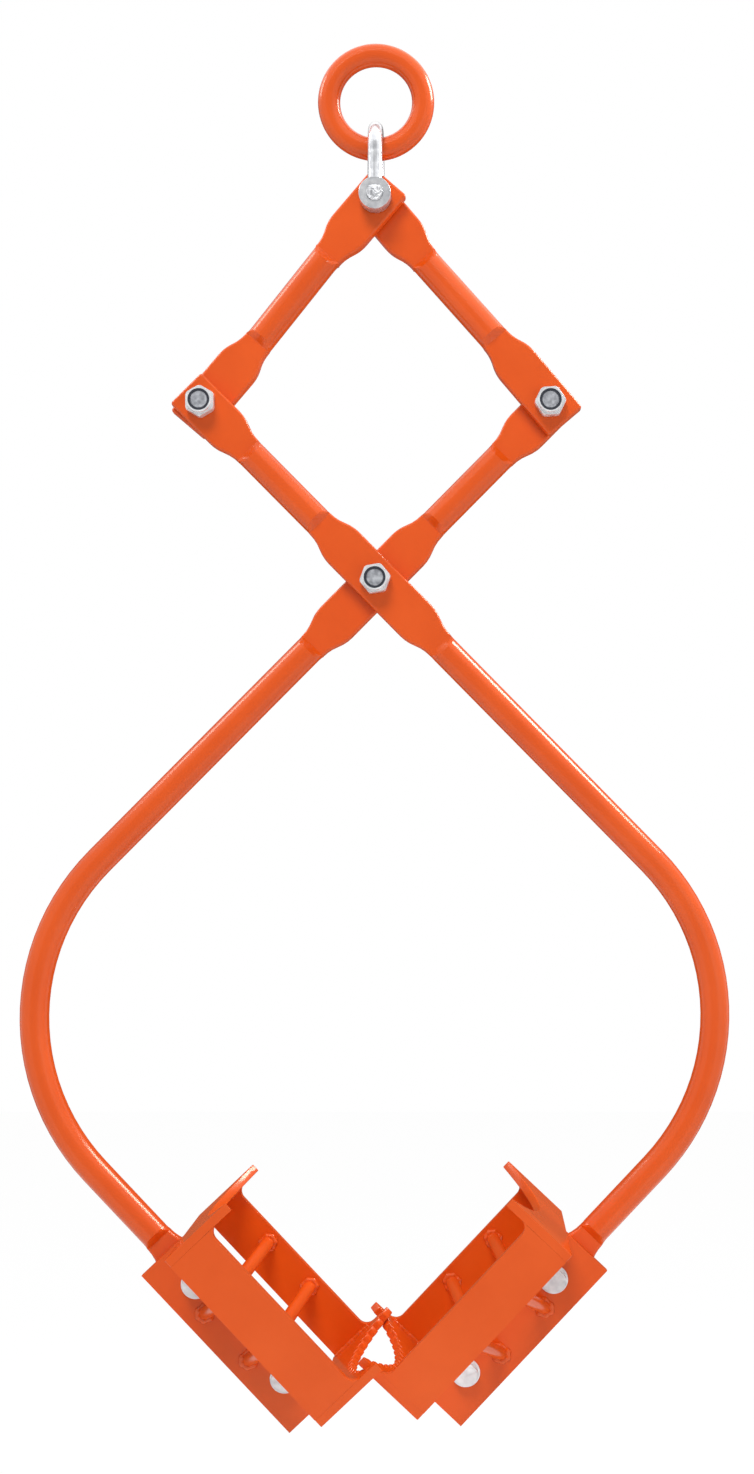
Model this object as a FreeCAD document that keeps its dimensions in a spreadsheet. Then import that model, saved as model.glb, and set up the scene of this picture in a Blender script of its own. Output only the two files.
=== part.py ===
# Scissor lifting tongs: a ring and shackle, two links, two crossing bar arms and two toothed box jaws.
# The ring's centre is the origin, +Z is up, and the arms open in the X-Z plane. Millimetres and degrees.
import math
import os

import FreeCAD
import Part
import Sketcher

doc = FreeCAD.newDocument("LiftingTongs")

# Driving sizes.
sizes = {
    # The ring, the shackle and its pin.
    "ring_bar": 13,
    "ring_inside": 42,
    "ring_gap": 0.3,
    "shackle_bar": 8.5,
    "shackle_play": 0.7,
    "shackle_reach": 37.5,
    "shackle_eye": 18.5,
    "eye_thickness": 9.5,
    "pin_diameter": 9.5,
    "pin_fit": 0.06,
    "pin_end": 1.2,
    "collar_diameter": 15,
    "collar_height": 3,
    "handle_diameter": 19,
    "handle_hole": 8,
    "handle_thickness": 5,

    # The round bars and their pressed flats.
    "bar_diameter": 17,
    "flat_width": 25.5,
    "flat_thickness": 8,
    "flat_gap": 0.2,
    "neck_length": 20,
    "ramp_length": 4,
    "corner_radius": 1.8,
    "edge_round": 1.6,
    "link_length": 156.5,
    "link_top_flat": 43,
    "link_low_flat": 49,
    "link_end": 13,
    "link_low_end": 14,
    "arm_upper": 144.3,
    "rest_angle": 44.7,
    "arm_top_flat": 39,
    "arm_end": 12.5,
    "centre_flat_high": 46,
    "centre_flat_low": 53,
    "lower_run": 230,
    "bend_radius": 130.3,
    "bend_angle": 88,
    "jaw_flat_lead": 8,
    "jaw_flat_tail": 12.5,

    # The jaws.
    "jaw_gap": 11.005,
    "jaw_length": 125,
    "jaw_depth": 140,
    "jaw_step": 14,
    "jaw_balance": 4.6,
    "tooth_plate": 5,
    "tooth_radius": 110.5,
    "tooth_bite": 6.5,
    "tip_flat": 1.5,
    "notch_count": 16,
    "notch_span": 68,
    "notch_depth": 3,
    "notch_width": 8,
    "side_plate": 5,
    "side_width": 28.3,
    "back_side_width": 25.5,
    "flare_radius": 6,
    "mount_plate": 6,
    "mount_outer": 60.5,
    "mount_inner": 17,
    "bolt_line": 40.8,
    "bolt_pitch": 75,
    "brace_diameter": 8,
    "brace_pitch": 37,
    "brace_high": 8,
    "brace_lift": 3,
    "front_brace_low": 48,
    "back_brace_low": 22.5,

    # The bolts, nuts and washers.
    "pivot_bolt": 10,
    "pivot_fit": 0.06,
    "open_fit": 1.3,
    "pivot_flats": 16,
    "pivot_head": 6.4,
    "pivot_nut": 10,
    "end_chamfer": 0.8,
    "pivot_nut_hex": 6.6,
    "nut_collar": 14.5,
    "insert_diameter": 12.6,
    "insert_height": 2.4,
    "face_gap": 0.2,
    "thread_gap": 0.05,
    "jaw_bolt": 8,
    "jaw_bolt_hole": 9,
    "jaw_bolt_flats": 13,
    "jaw_bolt_head": 5.3,
    "jaw_bolt_tail": 2,
    "jaw_nut": 8,
    "washer_diameter": 17,
    "washer_thickness": 1.6,
}

sheet = doc.addObject("Spreadsheet::Sheet", "Sizes")
for row, (alias, number) in enumerate(sizes.items(), start=1):
    sheet.set(f"A{row}", alias)
    sheet.set(f"B{row}", str(number))
    sheet.setAlias(f"B{row}", alias)
doc.recompute()


class Size:
    """A number together with the sheet expression that gives it."""

    def __init__(self, value, text):
        self.value = float(value)
        self.text = text

    def __add__(self, other):
        other = as_size(other)
        return Size(self.value + other.value, f"({self.text} + {other.text})")

    def __sub__(self, other):
        other = as_size(other)
        return Size(self.value - other.value, f"({self.text} - {other.text})")

    def __mul__(self, other):
        other = as_size(other)
        return Size(self.value * other.value, f"({self.text} * {other.text})")

    def __truediv__(self, other):
        other = as_size(other)
        return Size(self.value / other.value, f"({self.text} / {other.text})")

    def __neg__(self):
        return Size(-self.value, f"(-{self.text})")

    def __radd__(self, other):
        return as_size(other) + self

    def __rsub__(self, other):
        return as_size(other) - self

    def __rmul__(self, other):
        return as_size(other) * self


def as_size(number):
    return number if isinstance(number, Size) else Size(number, f"({number})")


def cell(alias):
    return Size(sizes[alias], f"Sizes.{alias}")


def sine(angle):
    return Size(math.sin(math.radians(angle.value)), f"sin({angle.text})")


def cosine(angle):
    return Size(math.cos(math.radians(angle.value)), f"cos({angle.text})")


def angle_of_sine(ratio):
    return Size(math.degrees(math.asin(ratio.value)), f"(asin({ratio.text}) / 1 deg)")


def root(number):
    return Size(math.sqrt(number.value), f"sqrt({number.text})")


AXES = {"x": "vector(1; 0; 0)", "y": "vector(0; 1; 0)", "z": "vector(0; 0; 1)"}


def frame(base=(0, 0, 0), turns=()):
    """The expression of a placement: a base point and turns about x, y or z."""
    point = "; ".join(as_size(part).text for part in base)
    spins = [f"rotation({AXES[axis]}; {as_size(angle).text})" for axis, angle in turns]
    return f"placement(vector({point}); {' * '.join(spins) or 'rotation(vector(0; 0; 1); 0)'})"


def place(piece, *frames, prop="Placement"):
    piece.setExpression(prop, " * ".join(frames))


def sketch_on(body, name, role, offset=None):
    """A sketch on one of the body's origin planes, set off by a frame."""
    planes = {feature.Role: feature for feature in body.Origin.OriginFeatures}
    sketch = body.newObject("Sketcher::SketchObject", name)
    sketch.AttachmentSupport = [(planes[role], "")]
    sketch.MapMode = "FlatFace"
    if offset is not None:
        place(sketch, offset, prop="AttachmentOffset")
    return sketch


def bind(sketch, constraint, size):
    index = sketch.addConstraint(constraint)
    sketch.setExpression(f"Constraints[{index}]", size.text)


def pin_point(sketch, edge, vertex, x, y):
    """Hold one point of a sketch at x, y from the sketch's origin."""
    if x.value == 0:
        sketch.addConstraint(Sketcher.Constraint("PointOnObject", edge, vertex, -2))
    else:
        bind(sketch, Sketcher.Constraint("DistanceX", -1, 1, edge, vertex, x.value), x)
    if y.value == 0:
        sketch.addConstraint(Sketcher.Constraint("PointOnObject", edge, vertex, -1))
    else:
        bind(sketch, Sketcher.Constraint("DistanceY", -1, 1, edge, vertex, y.value), y)


def arc_between(start, end, radius):
    """The short arc from start to end: a radius above zero turns left, below zero right."""
    chord = end - start
    half = chord.Length / 2
    left = FreeCAD.Vector(-chord.y, chord.x, 0).normalize()
    reach = math.sqrt(max(radius * radius - half * half, 0))
    centre = (start + end) * 0.5 + left * math.copysign(reach, radius)
    first, last = (start, end) if radius > 0 else (end, start)
    angles = [math.atan2(point.y - centre.y, point.x - centre.x) for point in (first, last)]
    circle = Part.Circle(centre, FreeCAD.Vector(0, 0, 1), abs(radius))
    return Part.ArcOfCircle(circle, angles[0], angles[1])


def draw(sketch, corners, closed=True):
    """Join corners (x, y) or (x, y, radius), where the radius bends the edge that starts there."""
    corners = [tuple(as_size(part) for part in corner) for corner in corners]
    points = [FreeCAD.Vector(corner[0].value, corner[1].value, 0) for corner in corners]
    count = len(corners) if closed else len(corners) - 1
    edges = []
    for number in range(count):
        start = points[number]
        end = points[(number + 1) % len(points)]
        bend = corners[number][2] if len(corners[number]) == 3 else None
        if bend is None:
            edge = sketch.addGeometry(Part.LineSegment(start, end))
            edges.append((edge, 1, 2))
        else:
            edge = sketch.addGeometry(arc_between(start, end, bend.value))
            edges.append((edge, 1, 2) if bend.value > 0 else (edge, 2, 1))
    for number in range(count if closed else count - 1):
        edge, head, tail = edges[number]
        after, after_head, after_tail = edges[(number + 1) % count]
        sketch.addConstraint(Sketcher.Constraint("Coincident", edge, tail, after, after_head))
    for number in range(count):
        edge, head, tail = edges[number]
        pin_point(sketch, edge, head, corners[number][0], corners[number][1])
        if len(corners[number]) == 3:
            bend = corners[number][2]
            size = bend if bend.value > 0 else -bend
            bind(sketch, Sketcher.Constraint("Radius", edge, size.value), size)
    if not closed:
        edge, head, tail = edges[-1]
        pin_point(sketch, edge, tail, corners[-1][0], corners[-1][1])


def hole(sketch, x, y, diameter):
    centre = FreeCAD.Vector(as_size(x).value, as_size(y).value, 0)
    circle = Part.Circle(centre, FreeCAD.Vector(0, 0, 1), diameter.value / 2)
    edge = sketch.addGeometry(circle)
    pin_point(sketch, edge, 3, as_size(x), as_size(y))
    bind(sketch, Sketcher.Constraint("Diameter", edge, diameter.value), diameter)


def round_section(sketch, diameter):
    """A circle in four arcs, which meet the four corners of a flat section."""
    reach = diameter / 2 * cosine(as_size(45))
    bend = diameter / 2
    draw(sketch, [(reach, reach, bend), (-reach, reach, bend), (-reach, -reach, bend), (reach, -reach, bend)])


def flat_section(sketch, width, thickness):
    x, y = width / 2, thickness / 2
    draw(sketch, [(x, y), (-x, y), (-x, -y), (x, -y)])


def pad(body, name, sketch, length):
    feature = body.newObject("PartDesign::Pad", name)
    feature.Profile = sketch
    feature.setExpression("Length", length.text)
    doc.recompute()
    return feature


def loft(body, name, first, last):
    feature = body.newObject("PartDesign::AdditiveLoft", name)
    feature.Profile = first
    feature.Sections = [last]
    feature.Ruled = True
    doc.recompute()
    return feature


def pipe(body, name, profile, path):
    feature = body.newObject("PartDesign::AdditivePipe", name)
    feature.Profile = profile
    feature.Spine = path
    doc.recompute()
    return feature


def soften(body, name, feature, middle, low, high):
    """Round the long edges of a pressed flat whose mid-plane is y = middle, between two heights."""
    half = sizes["flat_thickness"] / 2
    chosen = []
    for number, edge in enumerate(feature.Shape.Edges, start=1):
        box = edge.BoundBox
        on_face = box.YLength < 1e-6 and abs(abs(box.YMin - middle.value) - half) < 1e-6
        in_reach = box.ZMin > low - 1e-6 and box.ZMax < high + 1e-6
        across = abs(edge.Length - sizes["bar_diameter"]) < 1e-6
        ring = edge.isClosed()
        if on_face and in_reach and not across and not ring:
            chosen.append(f"Edge{number}")
    rounded = body.newObject("PartDesign::Fillet", name)
    rounded.Base = (feature, chosen)
    rounded.setExpression("Radius", cell("edge_round").text)
    doc.recompute()
    return rounded


nodes = {}


def keep(label, piece):
    piece.Label = label
    nodes[label] = piece
    return piece


def new_body(label):
    return keep(label, doc.addObject("PartDesign::Body", label))


# Where the joints lie at rest. The links and the upper arms share the same half spread.
bar = cell("bar_diameter")
flat_layer = (cell("flat_thickness") + cell("flat_gap")) / 2
spread = cell("arm_upper") * sine(cell("rest_angle"))
link_angle = angle_of_sine(spread / cell("link_length"))
shackle_width = 2 * cell("flat_thickness") + cell("flat_gap") + 2 * cell("shackle_play")
pin_z = -(cell("ring_inside") / 2 - cell("ring_gap") + cell("shackle_reach"))
side_z = pin_z - cell("link_length") * cosine(link_angle)
centre_z = side_z - cell("arm_upper") * cosine(cell("rest_angle"))
pin_hole = cell("pin_diameter") + 2 * cell("pin_fit")
pivot_hole = cell("pivot_bolt") + 2 * cell("pivot_fit")
open_hole = cell("pivot_bolt") + 2 * cell("open_fit")

# The lifting ring is a closed round bar.
ring = keep("lifting_ring", doc.addObject("Part::Torus", "lifting_ring"))
ring.setExpression("Radius1", ((cell("ring_inside") + cell("ring_bar")) / 2).text)
ring.setExpression("Radius2", (cell("ring_bar") / 2).text)
place(ring, frame(turns=[("x", 90)]))

# The shackle's bow is a bent bar with a drilled eye on each leg. It stands across the ring.
bow = new_body("shackle_bow")
leg = (shackle_width + cell("eye_thickness")) / 2
crown = cell("shackle_reach") + cell("shackle_bar") / 2 - leg
leg_start = cell("shackle_eye") / 2 - cell("shackle_bar") / 4
bow_path = sketch_on(bow, "bow_path", "YZ_Plane")
draw(bow_path, [(-leg, leg_start), (-leg, crown, -leg), (0, crown + leg, -leg), (leg, crown), (leg, leg_start)],
     closed=False)
bow_section = sketch_on(bow, "bow_section", "XY_Plane", frame((0, -leg, leg_start)))
hole(bow_section, 0, 0, cell("shackle_bar"))
pipe(bow, "bow_bar", bow_section, bow_path)
for side, start in (("front", shackle_width / 2), ("back", -leg - cell("eye_thickness") / 2)):
    eye = sketch_on(bow, f"{side}_eye_outline", "XZ_Plane", frame((0, 0, start)))
    hole(eye, 0, 0, cell("shackle_eye"))
    hole(eye, 0, 0, pin_hole)
    pad(bow, f"{side}_eye", eye, cell("eye_thickness"))
place(bow, frame((0, 0, pin_z)))


def cylinder(name, diameter, start, length):
    """A round bar along z, from start."""
    piece = doc.addObject("Part::Cylinder", name)
    piece.setExpression("Radius", (diameter / 2).text)
    piece.setExpression("Height", length.text)
    place(piece, frame((0, 0, start)))
    return piece


def hexagon(name, flats, start, height):
    """A hexagon along z whose corners are rounded off at both ends."""
    prism = doc.addObject("Part::Prism", f"{name}_prism")
    prism.Polygon = 6
    prism.setExpression("Circumradius", (flats / 2 / cosine(as_size(30))).text)
    prism.setExpression("Height", height.text)
    place(prism, frame((0, 0, start)))
    ball = doc.addObject("Part::Sphere", f"{name}_ball")
    reach = flats * 0.54
    ball.setExpression("Radius", root(reach * reach + height * height / 4).text)
    place(ball, frame((0, 0, start + height / 2)))
    block = doc.addObject("Part::Common", f"{name}_hexagon")
    block.Base = prism
    block.Tool = ball
    return block


def cone(name, diameter, start, height, way):
    """A bar's chamfered end along z from start: it narrows by its height, up if way is 1 and down if -1."""
    piece = doc.addObject("Part::Cone", name)
    piece.setExpression("Radius1", (diameter / 2).text)
    piece.setExpression("Radius2", (diameter / 2 - height).text)
    piece.setExpression("Height", height.text)
    place(piece, frame((0, 0, start), [("x", 0 if way > 0 else 180)]))
    return piece


def joined(name, *pieces):
    whole = doc.addObject("Part::MultiFuse", name)
    whole.Shapes = list(pieces)
    return whole


def cut(name, base, tool):
    rest = doc.addObject("Part::Cut", name)
    rest.Base = base
    rest.Tool = tool
    return rest


# The shackle's pin lies front to back: its plain end shows in front, its collar and loop handle are behind.
eye_face = shackle_width / 2 + cell("eye_thickness")
pin_front = eye_face + cell("pin_end")
collar_face = eye_face + cell("flat_gap")
pin_bar = cylinder("pin_bar", cell("pin_diameter"), -collar_face, collar_face + pin_front)
collar_end = -collar_face - cell("collar_height")
pin_collar = cylinder("pin_collar", cell("collar_diameter"), collar_end, cell("collar_height"))
handle_z = collar_end - cell("handle_diameter") / 2 + cell("collar_height") / 2
handle = cylinder("pin_handle_disc", cell("handle_diameter"), as_size(0), cell("handle_thickness"))
place(handle, frame((-cell("handle_thickness") / 2, 0, handle_z), [("y", 90)]))
handle_bore = cylinder("pin_handle_bore", cell("handle_hole"), as_size(0), cell("handle_thickness"))
place(handle_bore, frame((-cell("handle_thickness") / 2, 0, handle_z), [("y", 90)]))
loop = cut("pin_handle", handle, handle_bore)
pin = keep("shackle_pin", joined("shackle_pin", pin_bar, pin_collar, loop))
place(pin, frame((0, 0, pin_z), [("x", 90)]))


def neck_curve(away, side, turn, outwards):
    """The S-shaped edge from the bar's side to the flat's side, as corners for draw."""
    grow = (cell("flat_width") - bar) / 2
    length = cell("neck_length")
    bend = (grow * grow + length * length) / (4 * grow)
    low = (side * bar / 2, away(0), -turn * bend)
    middle = (side * (bar + grow) / 2, away(length / 2), turn * bend)
    if outwards:
        return [low, middle]
    return [(side * cell("flat_width") / 2, away(length), turn * bend), (middle[0], middle[1], -turn * bend)]


def end_flat(sketch, neck, end, way):
    """A pressed end: it grows from the bar at neck and is cut square, with rounded corners, at end."""
    half = cell("flat_width") / 2
    corner = cell("corner_radius")
    turn = as_size(way)

    def away(distance):
        return neck + turn * distance

    corners = neck_curve(away, as_size(1), turn, True)
    corners += [(half, away(cell("neck_length"))), (half, end - turn * corner, turn * corner), (half - corner, end)]
    corners += [(corner - half, end, turn * corner), (-half, end - turn * corner)]
    corners += neck_curve(away, as_size(-1), turn, False)
    corners += [(-bar / 2, neck)]
    draw(sketch, corners)


def middle_flat(sketch, low, high):
    """A pressed middle: it grows from the bar below its pivot and narrows to it again above."""
    half = cell("flat_width") / 2

    def up(distance):
        return distance - low

    def down(distance):
        return high - distance

    one = as_size(1)
    corners = neck_curve(up, one, one, True)
    corners += [(half, up(cell("neck_length")))]
    corners += neck_curve(down, one, one, False)
    corners += [(bar / 2, high)]
    corners += neck_curve(down, -one, one, True)
    corners += [(-half, down(cell("neck_length")))]
    corners += neck_curve(up, -one, one, False)
    corners += [(-bar / 2, -low)]
    draw(sketch, corners)


def flat_plane(middle):
    """The frame of a flat's outline: the pad then runs towards the front from the flat's back face."""
    return frame((0, 0, -middle - cell("flat_thickness") / 2))


def make_link(label, where):
    """A link hangs from the pin at its origin: its top flat is in the front layer, its low one behind."""
    body = new_body(label)
    top, low = -flat_layer, flat_layer
    top_neck = -cell("link_top_flat")
    low_neck = cell("link_low_flat") - cell("link_length")
    low_end = -cell("link_length") - cell("link_low_end")
    ramp = cell("ramp_length")
    outline = sketch_on(body, f"{label}_top_outline", "XZ_Plane", flat_plane(top))
    end_flat(outline, top_neck, cell("link_end"), 1)
    hole(outline, 0, 0, pin_hole)
    top_flat = pad(body, f"{label}_top_flat", outline, cell("flat_thickness"))
    soften(body, f"{label}_top_edges", top_flat, top, top_neck.value, sizes["link_end"])
    sections = []
    for part, y, z in (("top_ramp", top, top_neck), ("top_bar", top, top_neck - ramp),
                       ("low_bar", low, low_neck + ramp), ("low_ramp", low, low_neck)):
        section = sketch_on(body, f"{label}_{part}_section", "XY_Plane", frame((0, y, z)))
        if part.endswith("bar"):
            round_section(section, bar)
        else:
            flat_section(section, bar, cell("flat_thickness"))
        sections.append(section)
    loft(body, f"{label}_top_ramp", sections[0], sections[1])
    loft(body, f"{label}_bar", sections[1], sections[2])
    loft(body, f"{label}_low_ramp", sections[2], sections[3])
    outline = sketch_on(body, f"{label}_low_outline", "XZ_Plane", flat_plane(low))
    end_flat(outline, low_neck, low_end, -1)
    hole(outline, 0, -cell("link_length"), pivot_hole)
    low_flat = pad(body, f"{label}_low_flat", outline, cell("flat_thickness"))
    soften(body, f"{label}_low_edges", low_flat, low, low_end.value, low_neck.value)
    place(body, where)


# The two links are the same part, the right one turned round.
make_link("left_link", frame((0, 0, pin_z), [("y", link_angle)]))
make_link("right_link", frame((0, 0, pin_z), [("y", -link_angle), ("z", 180)]))

# Each arm's lower run leans across, so that the jaws pass beside each other and the tongs hang plumb.
bend = cell("bend_angle")
rest = cell("rest_angle")
left_flat_y = cell("jaw_balance") - cell("jaw_step") / 2
right_flat_y = cell("jaw_balance") + cell("jaw_step") / 2
bend_end_x = cell("bend_radius") - cell("bend_radius") * cosine(bend)
bend_end_z = -cell("lower_run") - cell("bend_radius") * sine(bend)

# The jaws' lower ends are half their gap away from the middle, and this gives the jaws' place on the arms.
jaw_turn = bend - rest
half_length = cell("jaw_length") / 2
jaw_low_end = (-cell("jaw_gap") / 2 - bend_end_x * cosine(rest) - bend_end_z * sine(rest)
               - cell("bolt_line") * cosine(jaw_turn)) / sine(jaw_turn)
jaw_drop = jaw_low_end - half_length
jaw_neck = jaw_drop - half_length - cell("jaw_flat_lead")
jaw_flat_end = jaw_drop + cell("bolt_pitch") / 2 + cell("jaw_flat_tail")


def make_arm(label, where, middle_hole, jaw_flat_y):
    """An arm turns about its centre pivot at its origin. Its flats are in the back layer."""
    body = new_body(label)
    lean = angle_of_sine((flat_layer - jaw_flat_y) / (cell("lower_run") + cell("bend_radius")))
    ramp = cell("ramp_length")
    top_neck = cell("arm_upper") - cell("arm_top_flat")
    top_end = cell("arm_upper") + cell("arm_end")
    high = cell("centre_flat_high")
    low = cell("centre_flat_low")
    thick = cell("flat_thickness")
    outline = sketch_on(body, f"{label}_top_outline", "XZ_Plane", flat_plane(flat_layer))
    end_flat(outline, top_neck, top_end, 1)
    hole(outline, 0, cell("arm_upper"), pivot_hole)
    top_flat = pad(body, f"{label}_top_flat", outline, thick)
    soften(body, f"{label}_top_edges", top_flat, flat_layer, top_neck.value, top_end.value)

    sections = []
    for part, z in (("top_ramp", top_neck), ("top_bar", top_neck - ramp),
                    ("middle_bar", high + ramp), ("middle_ramp", high), ("low_ramp", -low)):
        section = sketch_on(body, f"{label}_{part}_section", "XY_Plane", frame((0, flat_layer, z)))
        if part.endswith("bar"):
            round_section(section, bar)
        else:
            flat_section(section, bar, thick)
        sections.append(section)
    for part, first, last in (("top_ramp", 0, 1), ("upper_bar", 1, 2), ("middle_ramp", 2, 3)):
        loft(body, f"{label}_{part}", sections[first], sections[last])
    outline = sketch_on(body, f"{label}_middle_outline", "XZ_Plane", flat_plane(flat_layer))
    middle_flat(outline, low, high)
    hole(outline, 0, 0, middle_hole)
    middle = pad(body, f"{label}_middle_flat", outline, thick)
    soften(body, f"{label}_middle_edges", middle, flat_layer, -low.value, high.value)

    low_start = low + ramp
    low_frame = frame((0, flat_layer - low_start * sine(lean), -low_start * cosine(lean)), [("x", -lean)])
    low_section = sketch_on(body, f"{label}_low_bar_section", "XY_Plane", low_frame)
    round_section(low_section, bar)
    loft(body, f"{label}_low_ramp", sections[4], low_section)
    path = sketch_on(body, f"{label}_path", "XZ_Plane", frame((0, 0, -flat_layer), [("x", -lean)]))
    bar_end = jaw_neck - ramp
    draw(path, [(0, -low_start), (0, -cell("lower_run"), cell("bend_radius")), (bend_end_x, bend_end_z),
                (bend_end_x + bar_end * sine(bend), bend_end_z - bar_end * cosine(bend))], closed=False)
    pipe(body, f"{label}_lower_bar", low_section, path)

    turns = [("x", -lean), ("y", 180 - bend)]
    lean_frame = frame((0, flat_layer, 0), [("x", -lean)])
    end_base = (bend_end_x + bar_end * sine(bend), 0, bend_end_z - bar_end * cosine(bend))
    end_section = sketch_on(body, f"{label}_end_bar_section", "XY_Plane")
    place(end_section, lean_frame, frame(end_base, turns[1:]), prop="AttachmentOffset")
    round_section(end_section, bar)
    flat_base = (bend_end_x + jaw_neck * sine(bend), jaw_flat_y, bend_end_z - jaw_neck * cosine(bend))
    flat_start = sketch_on(body, f"{label}_end_ramp_section", "XY_Plane", frame(flat_base, turns[1:]))
    flat_section(flat_start, bar, thick)
    loft(body, f"{label}_end_ramp", end_section, flat_start)
    flat_frame = frame((bend_end_x, bend_end_z, -jaw_flat_y - thick / 2), [("z", bend)])
    outline = sketch_on(body, f"{label}_jaw_outline", "XZ_Plane", flat_frame)
    end_flat(outline, -jaw_neck, -jaw_flat_end, -1)
    for way in (-1, 1):
        hole(outline, 0, way * cell("bolt_pitch") / 2 - jaw_drop, cell("jaw_bolt_hole"))
    jaw_flat = pad(body, f"{label}_jaw_flat", outline, thick)
    soften(body, f"{label}_jaw_edges", jaw_flat, jaw_flat_y, jaw_flat.Shape.BoundBox.ZMin, -sizes["lower_run"])
    place(body, where)


# The right arm is the left one turned round, with more lean. The left one has the looser centre hole.
make_arm("left_jaw_arm", frame((0, 0, centre_z), [("y", rest)]), open_hole, left_flat_y)
make_arm("right_jaw_arm", frame((0, 0, centre_z), [("y", -rest), ("z", 180)]), pivot_hole, -right_flat_y)


def make_pivot(label, x, z, turn):
    """A bolt with its head behind and a lock nut in front, on the stack of two flats, tightened to a turn."""
    stack = cell("flat_thickness") + cell("flat_gap") / 2 + cell("face_gap")
    where = frame((x, 0, z), [("x", 90), ("z", turn)])
    size = cell("pivot_bolt")
    head = hexagon(f"{label}_head", cell("pivot_flats"), -stack - cell("pivot_head"), cell("pivot_head"))
    chamfer = cell("end_chamfer")
    front = stack + cell("pivot_nut") - chamfer
    shank = cylinder(f"{label}_shank", size, -stack, stack + front)
    end = cone(f"{label}_end", size, front, chamfer, 1)
    bolt = keep(f"{label}_bolt", joined(f"{label}_bolt", head, shank, end))
    place(bolt, where)

    bore = size + 2 * cell("thread_gap")
    block = hexagon(f"{label}_nut", cell("pivot_flats"), stack, cell("pivot_nut_hex"))
    collar = cylinder(f"{label}_nut_collar", cell("nut_collar"), stack, cell("pivot_nut"))
    solid = joined(f"{label}_nut_solid", block, collar)
    seat = stack + cell("pivot_nut") - cell("insert_height")
    thread = cylinder(f"{label}_nut_thread", bore, stack, cell("pivot_nut"))
    recess = cylinder(f"{label}_nut_recess", cell("insert_diameter"), seat, cell("insert_height"))
    nut = keep(f"{label}_nut", cut(f"{label}_lock_nut", solid, joined(f"{label}_nut_bore", thread, recess)))
    place(nut, where)

    outside = cylinder(f"{label}_insert_outside", cell("insert_diameter"), seat, cell("insert_height") * 0.8)
    inside = cylinder(f"{label}_insert_inside", bore, seat, cell("insert_height") * 0.8)
    insert = keep(f"{label}_nut_insert", cut(f"{label}_nut_insert", outside, inside))
    place(insert, where)


make_pivot("centre", 0, centre_z, 10)
make_pivot("left_joint", -spread, side_z, 30)
make_pivot("right_joint", spread, side_z, 4)

# The jaw's own frame: x towards the other jaw, y to the back, z along the jaw.
# Its origin is at mid-length and mid-depth, level with the inner edges of the side plates.
on_arm_x = bend_end_x + jaw_drop * sine(bend) + cell("bolt_line") * cosine(bend)
on_arm_z = bend_end_z - jaw_drop * cosine(bend) + cell("bolt_line") * sine(bend)
jaw_x = on_arm_x * cosine(rest) + on_arm_z * sine(rest)
jaw_z = centre_z - on_arm_x * sine(rest) + on_arm_z * cosine(rest)
behind_plate = cell("flat_thickness") / 2 + cell("mount_plate") / 2
half_depth = cell("jaw_depth") / 2
inner_length = half_length - cell("tooth_plate")
arc_x = cell("tooth_radius") - cell("tooth_bite")
tip_y = half_depth - cell("tip_flat")
tip_x = -root(cell("tooth_radius") * cell("tooth_radius") - tip_y * tip_y)


def make_end_plate(label, bottom, where):
    """An end plate: its inner edge is an arc between two tips."""
    body = new_body(label)
    outline = sketch_on(body, f"{label}_outline", "XY_Plane", frame((arc_x, 0, bottom)))
    outer = -arc_x - cell("side_width")
    draw(outline, [(outer, -half_depth), (tip_x, -half_depth), (tip_x, -tip_y, -cell("tooth_radius")),
                   (tip_x, tip_y), (tip_x, half_depth), (outer, half_depth)])
    pad(body, f"{label}_plate", outline, cell("tooth_plate"))
    place(body, where)
    return body


def cut_teeth(body, label, bottom):
    """Cut a row of notches into an end plate's arc, which leaves teeth between them."""
    first = -cell("notch_span") / 2
    notch = sketch_on(body, f"{label}_notch_outline", "XY_Plane", frame((arc_x, 0, bottom), [("z", first)]))
    mouth = -cell("tooth_radius") + cell("notch_depth") / 2
    root_x = -cell("tooth_radius") - cell("notch_depth")
    draw(notch, [(root_x, 0), (mouth, -cell("notch_width") / 2), (mouth, cell("notch_width") / 2)])
    pocket = body.newObject("PartDesign::Pocket", f"{label}_notch")
    pocket.Profile = notch
    pocket.Reversed = True
    pocket.setExpression("Length", cell("tooth_plate").text)
    doc.recompute()
    row = body.newObject("PartDesign::PolarPattern", f"{label}_notches")
    row.Originals = [pocket]
    row.Axis = (notch, ["N_Axis"])
    row.setExpression("Angle", cell("notch_span").text)
    row.setExpression("Occurrences", cell("notch_count").text)
    body.Tip = row
    doc.recompute()


def make_side_plate(label, back_face, width, where):
    """A side plate between the end plates: its inner corners flare into them."""
    body = new_body(label)
    outline = sketch_on(body, f"{label}_outline", "XZ_Plane", frame((0, 0, -back_face)))
    flare = cell("flare_radius")
    outer = -width
    draw(outline, [(outer, -inner_length), (flare, -inner_length, -flare), (0, flare - inner_length),
                   (0, inner_length - flare, -flare), (flare, inner_length), (outer, inner_length)])
    pad(body, f"{label}_plate", outline, cell("side_plate"))
    place(body, where)


def make_mounting_plate(label, where):
    """The plate bolted to the arm: it runs between the end plates and past them, flush with their faces."""
    body = new_body(label)
    outline = sketch_on(body, f"{label}_outline", "XZ_Plane", frame((0, 0, -cell("mount_plate") / 2)))
    outer, edge, inner = -cell("mount_outer"), -cell("side_width"), -cell("mount_inner")
    draw(outline, [(outer, -half_length), (edge, -half_length), (edge, -inner_length), (inner, -inner_length),
                   (inner, inner_length), (edge, inner_length), (edge, half_length), (outer, half_length)])
    for way in (-1, 1):
        hole(outline, -cell("bolt_line"), way * cell("bolt_pitch") / 2, cell("jaw_bolt_hole"))
    pad(body, f"{label}_plate", outline, cell("mount_plate"))
    place(body, where)


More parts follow.
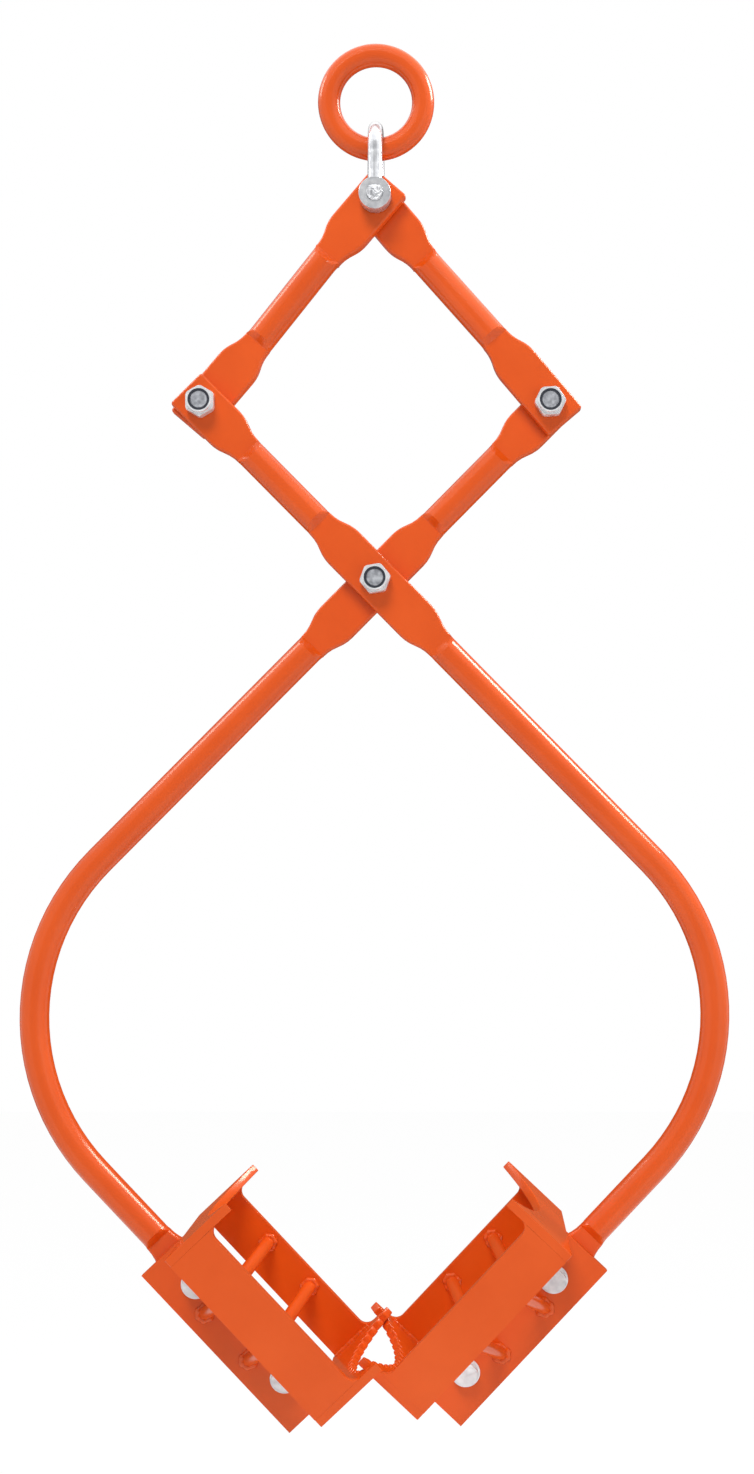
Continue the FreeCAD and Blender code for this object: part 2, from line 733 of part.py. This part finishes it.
def make_brace(label, way, low, z, where):
    """A round brace from the mounting plate up to a side plate, cut off flush with both."""
    start = cell("mount_plate") / 2
    finish = half_depth - cell("side_plate")
    rise = low - cell("brace_high")
    slope = root(rise * rise + (finish - start) * (finish - start))
    tilt = angle_of_sine(rise / slope)
    spare = cell("brace_diameter")
    rod = cylinder(f"{label}_rod", cell("brace_diameter"), as_size(0), slope + 2 * spare)
    place(rod, frame((-low, way * start, z), [("z", 90 if way > 0 else -90)]),
          frame(turns=[("y", 90)]), frame(turns=[("x", way * tilt)]), frame((0, 0, -spare)))
    slab = doc.addObject("Part::Box", f"{label}_slab")
    slab.setExpression("Length", (cell("mount_outer") * 2).text)
    slab.setExpression("Width", (finish - start).text)
    slab.setExpression("Height", (4 * cell("brace_diameter")).text)
    low_y = start if way > 0 else -finish
    place(slab, frame((-1.5 * cell("mount_outer"), low_y, z - 2 * cell("brace_diameter"))))
    brace = keep(label, doc.addObject("Part::Common", label))
    brace.Base = rod
    brace.Tool = slab
    place(brace, where)


def make_jaw_bolt(label, z, where):
    """A hexagon bolt and washer in front of the mounting plate, with a nut behind the arm."""
    local = frame((-cell("bolt_line"), -cell("mount_plate") / 2, z), [("x", 90)])
    stack = cell("mount_plate") + cell("flat_thickness")
    washer_top = cell("washer_thickness")
    head = hexagon(f"{label}_head", cell("jaw_bolt_flats"), washer_top, cell("jaw_bolt_head"))
    chamfer = cell("end_chamfer")
    tail = chamfer - stack - cell("jaw_nut") - cell("jaw_bolt_tail")
    shank = cylinder(f"{label}_shank", cell("jaw_bolt"), tail, washer_top - tail)
    end = cone(f"{label}_end", cell("jaw_bolt"), tail, chamfer, -1)
    bolt = keep(f"{label}_bolt", joined(f"{label}_bolt", head, shank, end))
    place(bolt, where, local)

    bore = cell("jaw_bolt") + 2 * cell("thread_gap")
    disc = cylinder(f"{label}_washer_disc", cell("washer_diameter"), as_size(0), washer_top)
    washer_bore = cylinder(f"{label}_washer_bore", bore, as_size(0), washer_top)
    washer = keep(f"{label}_washer", cut(f"{label}_washer", disc, washer_bore))
    place(washer, where, local)

    block = hexagon(f"{label}_nut_block", cell("jaw_bolt_flats"), -stack - cell("jaw_nut"), cell("jaw_nut"))
    nut_bore = cylinder(f"{label}_nut_bore", bore, -stack - cell("jaw_nut"), cell("jaw_nut"))
    nut = keep(f"{label}_nut", cut(f"{label}_nut", block, nut_bore))
    place(nut, where, local)


def make_jaw(name, where, up):
    """A whole jaw. Its upper end is towards +z of its frame if up is 1, and towards -z if up is -1."""
    make_mounting_plate(f"{name}_mounting_plate", where)
    high, low = (inner_length, -half_length)[::up]
    make_end_plate(f"{name}_upper_end_plate", high, where)
    toothed = make_end_plate(f"{name}_lower_tooth_plate", low, where)
    cut_teeth(toothed, f"{name}_lower_tooth_plate", low)
    front_face = cell("side_plate") - half_depth
    make_side_plate(f"{name}_front_side_plate", front_face, cell("side_width"), where)
    make_side_plate(f"{name}_back_side_plate", half_depth, cell("back_side_width"), where)
    for level, half in (("upper", up / 2), ("lower", -up / 2)):
        height = half * cell("brace_pitch") + up * cell("brace_lift")
        make_brace(f"{name}_front_{level}_brace", -1, cell("front_brace_low"), height, where)
        make_brace(f"{name}_back_{level}_brace", 1, cell("back_brace_low"), height, where)
        make_jaw_bolt(f"{name}_{level}", half * cell("bolt_pitch"), where)


# Each jaw sits in front of its arm's flat end. The right jaw is the left one turned over.
make_jaw("left_jaw", frame((jaw_x, left_flat_y - behind_plate, jaw_z), [("y", -jaw_turn)]), 1)
make_jaw("right_jaw", frame((-jaw_x, right_flat_y - behind_plate, jaw_z), [("y", jaw_turn + 180)]), -1)

doc.recompute()
for piece in doc.Objects:
    if "Invalid" in piece.State or "Error" in piece.State:
        raise RuntimeError(f"{piece.Label} did not build: {piece.State}")
os.makedirs("parts", exist_ok=True)
for label, piece in nodes.items():
    if piece.Shape.isNull() or not piece.Shape.isValid():
        raise RuntimeError(f"{label} has no valid shape")
    piece.Shape.exportStep(f"parts/{label}.step")
print(len(nodes), "pieces written")
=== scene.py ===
import math

import bmesh
import bpy
from mathutils import Matrix, Vector


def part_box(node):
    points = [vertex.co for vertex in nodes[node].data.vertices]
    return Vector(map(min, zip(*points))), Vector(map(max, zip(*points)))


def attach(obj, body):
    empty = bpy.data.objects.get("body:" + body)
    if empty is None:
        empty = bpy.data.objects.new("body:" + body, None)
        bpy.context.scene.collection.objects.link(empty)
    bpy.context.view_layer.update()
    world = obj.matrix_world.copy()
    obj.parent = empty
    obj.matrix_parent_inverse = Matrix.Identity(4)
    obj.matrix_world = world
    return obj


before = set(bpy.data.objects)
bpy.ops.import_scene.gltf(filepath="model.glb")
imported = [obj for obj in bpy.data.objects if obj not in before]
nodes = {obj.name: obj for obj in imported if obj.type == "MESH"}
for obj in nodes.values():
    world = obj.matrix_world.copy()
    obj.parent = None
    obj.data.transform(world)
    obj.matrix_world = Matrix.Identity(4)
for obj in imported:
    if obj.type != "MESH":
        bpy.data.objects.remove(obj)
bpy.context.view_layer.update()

# Lifting ring: one round bar bent to a circle, welded shut and powder coated.
# The coat is a smooth orange with a faint orange-peel skin, and it carries on over
# the links, arms and jaws, so its material is made here.
orange_coat = bpy.data.materials.new("orange_coat")
orange_coat.use_nodes = True
coat_tree = orange_coat.node_tree
coat_shader = coat_tree.nodes["Principled BSDF"]
coat_shader.inputs["Specular Tint"].default_value = (1.0, 0.97, 0.80, 1.0)
coat_place = coat_tree.nodes.new("ShaderNodeTexCoord")

coat_cloud = coat_tree.nodes.new("ShaderNodeTexNoise")
coat_cloud.inputs["Scale"].default_value = 22.0
coat_cloud.inputs["Detail"].default_value = 4.0
coat_tint = coat_tree.nodes.new("ShaderNodeValToRGB")
coat_tint.color_ramp.elements[0].position = 0.30
coat_tint.color_ramp.elements[0].color = (0.735, 0.082, 0.005, 1.0)
coat_tint.color_ramp.elements[1].position = 0.72
coat_tint.color_ramp.elements[1].color = (0.805, 0.100, 0.009, 1.0)
coat_tree.links.new(coat_place.outputs["Object"], coat_cloud.inputs["Vector"])
coat_tree.links.new(coat_cloud.outputs["Fac"], coat_tint.inputs["Fac"])
coat_tree.links.new(coat_tint.outputs["Color"], coat_shader.inputs["Base Color"])

coat_gloss = coat_tree.nodes.new("ShaderNodeMapRange")
coat_gloss.inputs["To Min"].default_value = 0.16
coat_gloss.inputs["To Max"].default_value = 0.24
coat_tree.links.new(coat_cloud.outputs["Fac"], coat_gloss.inputs["Value"])
coat_tree.links.new(coat_gloss.outputs["Result"], coat_shader.inputs["Roughness"])

coat_peel = coat_tree.nodes.new("ShaderNodeTexNoise")
coat_peel.inputs["Scale"].default_value = 260.0
coat_peel.inputs["Detail"].default_value = 2.0
coat_bump = coat_tree.nodes.new("ShaderNodeBump")
coat_bump.inputs["Strength"].default_value = 0.015
coat_bump.inputs["Distance"].default_value = 0.0006
coat_tree.links.new(coat_place.outputs["Object"], coat_peel.inputs["Vector"])
coat_tree.links.new(coat_peel.outputs["Fac"], coat_bump.inputs["Height"])
coat_tree.links.new(coat_bump.outputs["Normal"], coat_shader.inputs["Normal"])


def paint(names, finish):
    """Give CAD nodes their finish."""
    for name in names:
        for slot in nodes[name].material_slots:
            slot.material = finish


paint(["lifting_ring"], orange_coat)

# Shackle: a forged bow with two drilled eyes, and a screwed pin with a loop handle.
# Both are hot-dip galvanised, a bright grey skin with a soft mottled spangle. The zinc runs
# smoothly down the bow and lies in thick drips on the pin's rough end.
forged_dark = (0.56, 0.57, 0.60)
forged_light = (0.84, 0.85, 0.87)
bow_round = 0.0018
pin_round = 0.0014


def zinc_skin(name, metal_share, dark, light, drips_per_metre, drip_height):
    """Zinc mottled between two tones. The metal share mirrors, and the drips bend what it mirrors."""
    skin = bpy.data.materials.new(name)
    skin.use_nodes = True
    tree = skin.node_tree
    shader = tree.nodes["Principled BSDF"]
    shader.inputs["Metallic"].default_value = metal_share
    place = tree.nodes.new("ShaderNodeTexCoord")

    mottle = tree.nodes.new("ShaderNodeTexNoise")
    mottle.inputs["Scale"].default_value = 260.0
    mottle.inputs["Detail"].default_value = 5.0
    tint = tree.nodes.new("ShaderNodeValToRGB")
    tint.color_ramp.elements[0].position = 0.30
    tint.color_ramp.elements[0].color = (*dark, 1.0)
    tint.color_ramp.elements[1].position = 0.70
    tint.color_ramp.elements[1].color = (*light, 1.0)
    tree.links.new(place.outputs["Object"], mottle.inputs["Vector"])
    tree.links.new(mottle.outputs["Fac"], tint.inputs["Fac"])
    tree.links.new(tint.outputs["Color"], shader.inputs["Base Color"])

    gloss = tree.nodes.new("ShaderNodeMapRange")
    gloss.inputs["To Min"].default_value = 0.14
    gloss.inputs["To Max"].default_value = 0.30
    tree.links.new(mottle.outputs["Fac"], gloss.inputs["Value"])
    tree.links.new(gloss.outputs["Result"], shader.inputs["Roughness"])

    drip = tree.nodes.new("ShaderNodeTexNoise")
    drip.inputs["Scale"].default_value = drips_per_metre
    drip.inputs["Detail"].default_value = 1.0
    drip.inputs["Distortion"].default_value = 0.6
    bump = tree.nodes.new("ShaderNodeBump")
    bump.inputs["Strength"].default_value = 0.6
    bump.inputs["Distance"].default_value = drip_height
    tree.links.new(place.outputs["Object"], drip.inputs["Vector"])
    tree.links.new(drip.outputs["Fac"], bump.inputs["Height"])
    tree.links.new(bump.outputs["Normal"], shader.inputs["Normal"])
    return skin


def round_edges(names, width):
    """Round the sharp edges of CAD nodes, whose loose triangles are joined first."""
    for name in names:
        joined = nodes[name].modifiers.new("joined_faces", "WELD")
        joined.merge_threshold = 0.00001
        edge = nodes[name].modifiers.new("rounded_edges", "BEVEL")
        edge.width = width
        edge.segments = 3
        edge.limit_method = "ANGLE"
        edge.angle_limit = math.radians(40.0)
        edge.harden_normals = True


bow_zinc = zinc_skin("bow_zinc", metal_share=0.7, dark=forged_dark, light=forged_light,
                     drips_per_metre=130.0, drip_height=0.0006)
pin_zinc = zinc_skin("pin_zinc", metal_share=0.85, dark=forged_dark, light=forged_light,
                     drips_per_metre=240.0, drip_height=0.0060)
paint(["shackle_bow"], bow_zinc)
paint(["shackle_pin"], pin_zinc)
round_edges(["shackle_bow"], bow_round)
round_edges(["shackle_pin"], pin_round)

# Links and arms: round steel bar with the ends and the arms' middles pressed flat,
# drilled, bent and coated together. The press leaves their edges round already.
paint(["left_link", "right_link", "left_jaw_arm", "right_jaw_arm"], orange_coat)

# Pivots: bolts with the head behind and a plated lock nut in front. The bolt's end is bare,
# dull steel, and the dark ring round it is the plastic insert that grips the thread.
pivots = ("centre", "left_joint", "right_joint")
fastener_round = 0.0004

dull_steel = bpy.data.materials.new("dull_steel")
dull_steel.use_nodes = True
steel_tree = dull_steel.node_tree
steel_shader = steel_tree.nodes["Principled BSDF"]
steel_shader.inputs["Metallic"].default_value = 0.6
steel_shader.inputs["Roughness"].default_value = 0.34
steel_place = steel_tree.nodes.new("ShaderNodeTexCoord")
steel_grain = steel_tree.nodes.new("ShaderNodeTexNoise")
steel_grain.inputs["Scale"].default_value = 340.0
steel_grain.inputs["Detail"].default_value = 4.0
steel_tint = steel_tree.nodes.new("ShaderNodeValToRGB")
steel_tint.color_ramp.elements[0].position = 0.32
steel_tint.color_ramp.elements[0].color = (0.28, 0.29, 0.32, 1.0)
steel_tint.color_ramp.elements[1].position = 0.68
steel_tint.color_ramp.elements[1].color = (0.68, 0.70, 0.74, 1.0)
steel_tree.links.new(steel_place.outputs["Object"], steel_grain.inputs["Vector"])
steel_tree.links.new(steel_grain.outputs["Fac"], steel_tint.inputs["Fac"])
steel_tree.links.new(steel_tint.outputs["Color"], steel_shader.inputs["Base Color"])

dark_insert = bpy.data.materials.new("dark_insert")
dark_insert.use_nodes = True
insert_tree = dark_insert.node_tree
insert_shader = insert_tree.nodes["Principled BSDF"]
insert_shader.inputs["Roughness"].default_value = 0.45
insert_place = insert_tree.nodes.new("ShaderNodeTexCoord")
insert_grain = insert_tree.nodes.new("ShaderNodeTexNoise")
insert_grain.inputs["Scale"].default_value = 900.0
insert_tint = insert_tree.nodes.new("ShaderNodeValToRGB")
insert_tint.color_ramp.elements[0].color = (0.012, 0.014, 0.022, 1.0)
insert_tint.color_ramp.elements[1].color = (0.040, 0.044, 0.060, 1.0)
insert_tree.links.new(insert_place.outputs["Object"], insert_grain.inputs["Vector"])
insert_tree.links.new(insert_grain.outputs["Fac"], insert_tint.inputs["Fac"])
insert_tree.links.new(insert_tint.outputs["Color"], insert_shader.inputs["Base Color"])

bright_zinc = zinc_skin("bright_zinc", metal_share=0.35, dark=(0.72, 0.73, 0.75), light=(0.92, 0.93, 0.94),
                        drips_per_metre=130.0, drip_height=0.0015)

paint([f"{pivot}_bolt" for pivot in pivots], dull_steel)
paint([f"{pivot}_nut" for pivot in pivots], bright_zinc)
paint([f"{pivot}_nut_insert" for pivot in pivots], dark_insert)
round_edges([f"{pivot}_nut" for pivot in pivots], fastener_round)

# Jaws: flame-cut end plates, the lower one toothed, side plates and a mounting plate, with
# round braces between them, welded into an open box, coated, and bolted to the arm's flat.
# The flame-cut edges are ground off before the coat. The mounting plate stays sharp.
jaws = ("left_jaw", "right_jaw")
ground_plates = ["upper_end_plate", "lower_tooth_plate", "front_side_plate", "back_side_plate"]
jaw_braces = ["front_upper_brace", "front_lower_brace", "back_upper_brace", "back_lower_brace"]
jaw_bolts = ["upper_bolt", "upper_washer", "upper_nut", "lower_bolt", "lower_washer", "lower_nut"]
plate_round = 0.0005
for jaw in jaws:
    paint([f"{jaw}_{piece}" for piece in ["mounting_plate"] + ground_plates + jaw_braces], orange_coat)
    paint([f"{jaw}_{piece}" for piece in jaw_bolts], bright_zinc)
    round_edges([f"{jaw}_{piece}" for piece in ground_plates], plate_round)
    round_edges([f"{jaw}_{piece}" for piece in jaw_bolts], fastener_round)

# Jaw welds: fillet beads fix the braces to the plates and the plates to each other.
# A bead is a round run of metal with ripples across it, laid before the coat, so it is orange too.
bead_sides = 8
bead_radius = 0.0016
bead_swell = 0.0002
bead_step = 0.0010
ring_bead_radius = 0.0018
ring_bead_swell = 0.0004
ring_bead_steps = 26
short_ripple = 1.7
long_ripple = 0.8
long_ripple_share = 0.6
stop_before_edge = 0.004
rim_tolerance = 0.00002
bead_mesh = bpy.data.meshes.new("bead")
depth = Vector((0.0, 1.0, 0.0))


def reach(name, axis):
    """How far a node reaches along an axis, as its lowest and highest values."""
    values = [vertex.co.dot(axis) for vertex in nodes[name].data.vertices]
    return min(values), max(values)


def lay(welds, bead, swell, place):
    """Ripple a bead ring by ring, move it to its place and add it to a jaw's welds."""
    bead.normal_update()
    for number, vertex in enumerate(bead.verts):
        ring = number // bead_sides
        ripple = math.sin(short_ripple * ring) + long_ripple_share * math.sin(long_ripple * ring)
        vertex.co += vertex.normal * swell * ripple
    bmesh.ops.transform(bead, matrix=place, verts=bead.verts)
    bmesh.ops.recalc_face_normals(bead, faces=bead.faces)
    bead.to_mesh(bead_mesh)
    bead.free()
    welds.from_mesh(bead_mesh)


def straight_bead(welds, start, end):
    """A bead along a corner between two plates."""
    run = end - start
    steps = round(run.length / bead_step)
    bead = bmesh.new()
    bmesh.ops.create_circle(bead, segments=bead_sides, radius=bead_radius)
    bmesh.ops.spin(bead, geom=bead.verts[:] + bead.edges[:], axis=(0.0, 0.0, 1.0), cent=(0.0, 0.0, 0.0),
                   dvec=(0.0, 0.0, run.length / steps), angle=0.0, steps=steps)
    bmesh.ops.holes_fill(bead, edges=bead.edges)
    turn = run.to_track_quat("Z", "Y").to_matrix().to_4x4()
    lay(welds, bead, bead_swell, Matrix.Translation(start) @ turn)


def ring_bead(welds, name, end, inwards, along):
    """A bead round a slanted brace's end, which lies at this depth and is an ellipse there."""
    rim = [vertex.co for vertex in nodes[name].data.vertices if abs(vertex.co.y - end) < rim_tolerance]
    wide = [point.dot(inwards) for point in rim]
    high = [point.dot(along) for point in rim]
    half_wide = (max(wide) - min(wide)) / 2
    half_high = (max(high) - min(high)) / 2
    centre = inwards * (max(wide) - half_wide) + along * (max(high) - half_high) + depth * end
    bead = bmesh.new()
    section = Matrix.Translation((half_high, 0.0, 0.0)) @ Matrix.Rotation(math.radians(90.0), 4, "X")
    bmesh.ops.create_circle(bead, segments=bead_sides, radius=ring_bead_radius, matrix=section)
    bmesh.ops.spin(bead, geom=bead.verts[:] + bead.edges[:], axis=(0.0, 0.0, 1.0), cent=(0.0, 0.0, 0.0),
                   angle=math.tau, steps=ring_bead_steps, use_merge=True)
    bmesh.ops.scale(bead, vec=(half_wide / half_high, 1.0, 1.0), verts=bead.verts)
    turn = Matrix((inwards, along, depth)).transposed().to_4x4()
    lay(welds, bead, ring_bead_swell, Matrix.Translation(centre) @ turn)


for jaw in jaws:
    upper, lower = f"{jaw}_upper_end_plate", f"{jaw}_lower_tooth_plate"
    upper_box, lower_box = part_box(upper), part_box(lower)
    along = Vector(upper_box[0]) + Vector(upper_box[1]) - Vector(lower_box[0]) - Vector(lower_box[1])
    along.normalize()
    inwards = depth.cross(along)
    if inwards.z < 0:
        inwards = -inwards
    welds = bmesh.new()

    mounting = f"{jaw}_mounting_plate"
    for end_plate, level in ((upper, reach(upper, along)[0]), (lower, reach(lower, along)[1])):
        corners = []
        for side_plate, inner_face in ((f"{jaw}_front_side_plate", 1), (f"{jaw}_back_side_plate", 0)):
            low, high = reach(side_plate, inwards)
            corners.append((low, high - stop_before_edge, reach(side_plate, depth)[inner_face]))
        for face in reach(mounting, depth):
            corners.append((reach(end_plate, inwards)[0], reach(mounting, inwards)[1], face))
        for low, high, face in corners:
            straight_bead(welds, *(inwards * way + depth * face + along * level for way in (low, high)))
    for piece in jaw_braces:
        for end in reach(f"{jaw}_{piece}", depth):
            ring_bead(welds, f"{jaw}_{piece}", end, inwards, along)

    for face in welds.faces:
        face.smooth = True
    weld_mesh = bpy.data.meshes.new(f"{jaw}_welds")
    welds.to_mesh(weld_mesh)
    welds.free()
    weld_mesh.materials.append(orange_coat)
    weld_piece = bpy.data.objects.new(f"{jaw}_welds", weld_mesh)
    bpy.context.scene.collection.objects.link(weld_piece)
    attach(weld_piece, f"{jaw}_arm")
bpy.data.meshes.remove(bead_mesh)

# Floor: a plain pale sheet well below the hanging tongs, which keeps their faint shadow.
# It glows to the eye, in gloss and through glass, so that it runs into the white surround.
floor_half_width = 4.0
floor_height = -1.10
floor_mesh = bpy.data.meshes.new("studio_floor")
floor_shape = bmesh.new()
bmesh.ops.create_grid(floor_shape, x_segments=1, y_segments=1, size=floor_half_width)
bmesh.ops.translate(floor_shape, verts=floor_shape.verts, vec=(0.0, 0.0, floor_height))
floor_shape.to_mesh(floor_mesh)
floor_shape.free()
floor = bpy.data.objects.new("studio_floor", floor_mesh)
bpy.context.scene.collection.objects.link(floor)


def seen_share(tree, unseen, seen):
    """A value for rays that see a thing straight, in gloss or through glass, and another for the rest."""
    rays = tree.nodes.new("ShaderNodeLightPath")
    sight = rays.outputs["Is Camera Ray"]
    for ray in ("Is Glossy Ray", "Is Transmission Ray"):
        larger = tree.nodes.new("ShaderNodeMath")
        larger.operation = "MAXIMUM"
        tree.links.new(sight, larger.inputs[0])
        tree.links.new(rays.outputs[ray], larger.inputs[1])
        sight = larger.outputs[0]
    share = tree.nodes.new("ShaderNodeMapRange")
    share.inputs["To Min"].default_value = unseen
    share.inputs["To Max"].default_value = seen
    tree.links.new(sight, share.inputs["Value"])
    return share.outputs["Result"]


pale_floor = bpy.data.materials.new("pale_floor")
pale_floor.use_nodes = True
floor_tree = pale_floor.node_tree
floor_shader = floor_tree.nodes["Principled BSDF"]
floor_shader.inputs["Base Color"].default_value = (0.92, 0.92, 0.92, 1.0)
floor_shader.inputs["Roughness"].default_value = 0.9
floor_glow = floor_tree.nodes.new("ShaderNodeEmission")
floor_glow.inputs["Strength"].default_value = 1.03
floor_mix = floor_tree.nodes.new("ShaderNodeMixShader")
floor_tree.links.new(seen_share(floor_tree, unseen=0.0, seen=0.93), floor_mix.inputs["Fac"])
floor_tree.links.new(floor_shader.outputs["BSDF"], floor_mix.inputs[1])
floor_tree.links.new(floor_glow.outputs["Emission"], floor_mix.inputs[2])
floor_tree.links.new(floor_mix.outputs["Shader"], floor_tree.nodes["Material Output"].inputs["Surface"])
floor_mesh.materials.append(pale_floor)

# Surround: plain white where it is seen, and a low even light on the tongs.
# It stands for the white walls and ceiling of a studio.
world = bpy.data.worlds.new("white_surround")
bpy.context.scene.world = world
world.use_nodes = True
world_tree = world.node_tree
surround = world_tree.nodes["Background"]
surround.inputs["Color"].default_value = (1.0, 1.0, 1.0, 1.0)
world_tree.links.new(seen_share(world_tree, unseen=0.36, seen=1.0), surround.inputs["Strength"])

# Lamps: a wide soft one above the camera and a weak one low on the right light the front.
# Two small ones, a little behind the tongs and high on the right and left, draw bright lines on the bars.
def soft_light(name, place, aim, width, power, mirrored):
    """A square lamp. Only a mirrored one shows in reflections."""
    lamp = bpy.data.lights.new(name, "AREA")
    lamp.shape = "SQUARE"
    lamp.size = width
    lamp.energy = power
    holder = bpy.data.objects.new(name, lamp)
    bpy.context.scene.collection.objects.link(holder)
    holder.location = place
    holder.rotation_euler = (Vector(aim) - Vector(place)).to_track_quat("-Z", "Y").to_euler()
    holder.visible_glossy = mirrored


soft_light("key_light", place=(-0.5, -2.0, 2.0), aim=(0.0, 0.0, -0.40),
           width=1.2, power=57.0, mirrored=False)
soft_light("fill_light", place=(1.2, -1.5, -0.3), aim=(0.0, 0.0, -0.45),
           width=1.2, power=5.0, mirrored=False)
soft_light("right_edge_light", place=(1.05, 0.25, 0.65), aim=(0.0, 0.0, -0.35),
           width=0.50, power=16.0, mirrored=True)
soft_light("left_edge_light", place=(-1.00, 0.12, 0.62), aim=(0.0, 0.0, -0.35),
           width=0.40, power=3.0, mirrored=True)

# Cloths: panels that only reflections show. A dim one behind the camera gives the bars a deep
# middle band, a bright one overhead the light band above it, and two behind the tongs a dark rim.
white = (1.0, 1.0, 1.0)
warm_brown = (1.0, 0.33, 0.17)
upright = 90.0
lying_flat = 0.0


def cloth(name, place, lean, half_width, half_height, tint, brightness):
    """A glowing sheet that leans by this many degrees and lights nothing but gloss."""
    sheet = bmesh.new()
    bmesh.ops.create_grid(sheet, x_segments=1, y_segments=1, size=1.0)
    bmesh.ops.scale(sheet, vec=(half_width, half_height, 1.0), verts=sheet.verts)
    tilt = Matrix.Rotation(math.radians(lean), 4, "X")
    bmesh.ops.transform(sheet, matrix=Matrix.Translation(place) @ tilt, verts=sheet.verts)
    mesh = bpy.data.meshes.new(name)
    sheet.to_mesh(mesh)
    sheet.free()
    dye = bpy.data.materials.new(name)
    dye.use_nodes = True
    tree = dye.node_tree
    glow = tree.nodes.new("ShaderNodeEmission")
    glow.inputs["Color"].default_value = (*tint, 1.0)
    glow.inputs["Strength"].default_value = brightness
    tree.links.new(glow.outputs["Emission"], tree.nodes["Material Output"].inputs["Surface"])
    mesh.materials.append(dye)
    panel = bpy.data.objects.new(name, mesh)
    bpy.context.scene.collection.objects.link(panel)
    panel.visible_camera = False
    panel.visible_diffuse = False
    panel.visible_shadow = False


cloth("front_cloth", place=(0.0, -1.35, -0.35), lean=upright,
      half_width=0.85, half_height=1.15, tint=white, brightness=0.55)
cloth("upper_back_cloth", place=(0.0, 0.80, 0.15), lean=upright,
      half_width=1.1, half_height=0.30, tint=white, brightness=0.22)
cloth("lower_back_cloth", place=(0.0, 0.80, -0.60), lean=upright,
      half_width=1.1, half_height=0.45, tint=warm_brown, brightness=0.42)
cloth("overhead_cloth", place=(0.0, -0.20, 1.00), lean=lying_flat,
      half_width=1.8, half_height=1.4, tint=white, brightness=1.5)

# Camera: level, 1.2 m in front of the tongs, with the lens shifted as in the photograph.
# The photograph is 754 by 1474 pixels and shows 1.71 pixels a millimetre at the linkage.
photo_width = 754.0
photo_height = 1474.0
pixels_per_metre = 1710.0
axis_column = 477.0
axis_row = 850.0
camera_across = 0.0590
camera_distance = 1.2
camera_height = -0.4371
camera_lens = bpy.data.cameras.new("photo_camera")
camera_lens.sensor_fit = "VERTICAL"
camera_lens.sensor_height = 24.0
camera_lens.lens = camera_lens.sensor_height * pixels_per_metre * camera_distance / photo_height
camera_lens.shift_x = (photo_width / 2 - axis_column) / photo_height
camera_lens.shift_y = (axis_row - photo_height / 2) / photo_height
camera = bpy.data.objects.new("photo_camera", camera_lens)
bpy.context.scene.collection.objects.link(camera)
camera.location = (camera_across, -camera_distance, camera_height)
camera.rotation_euler = (math.radians(90.0), 0.0, 0.0)
bpy.context.scene.camera = camera
bpy.context.scene.view_settings.view_transform = "Standard"
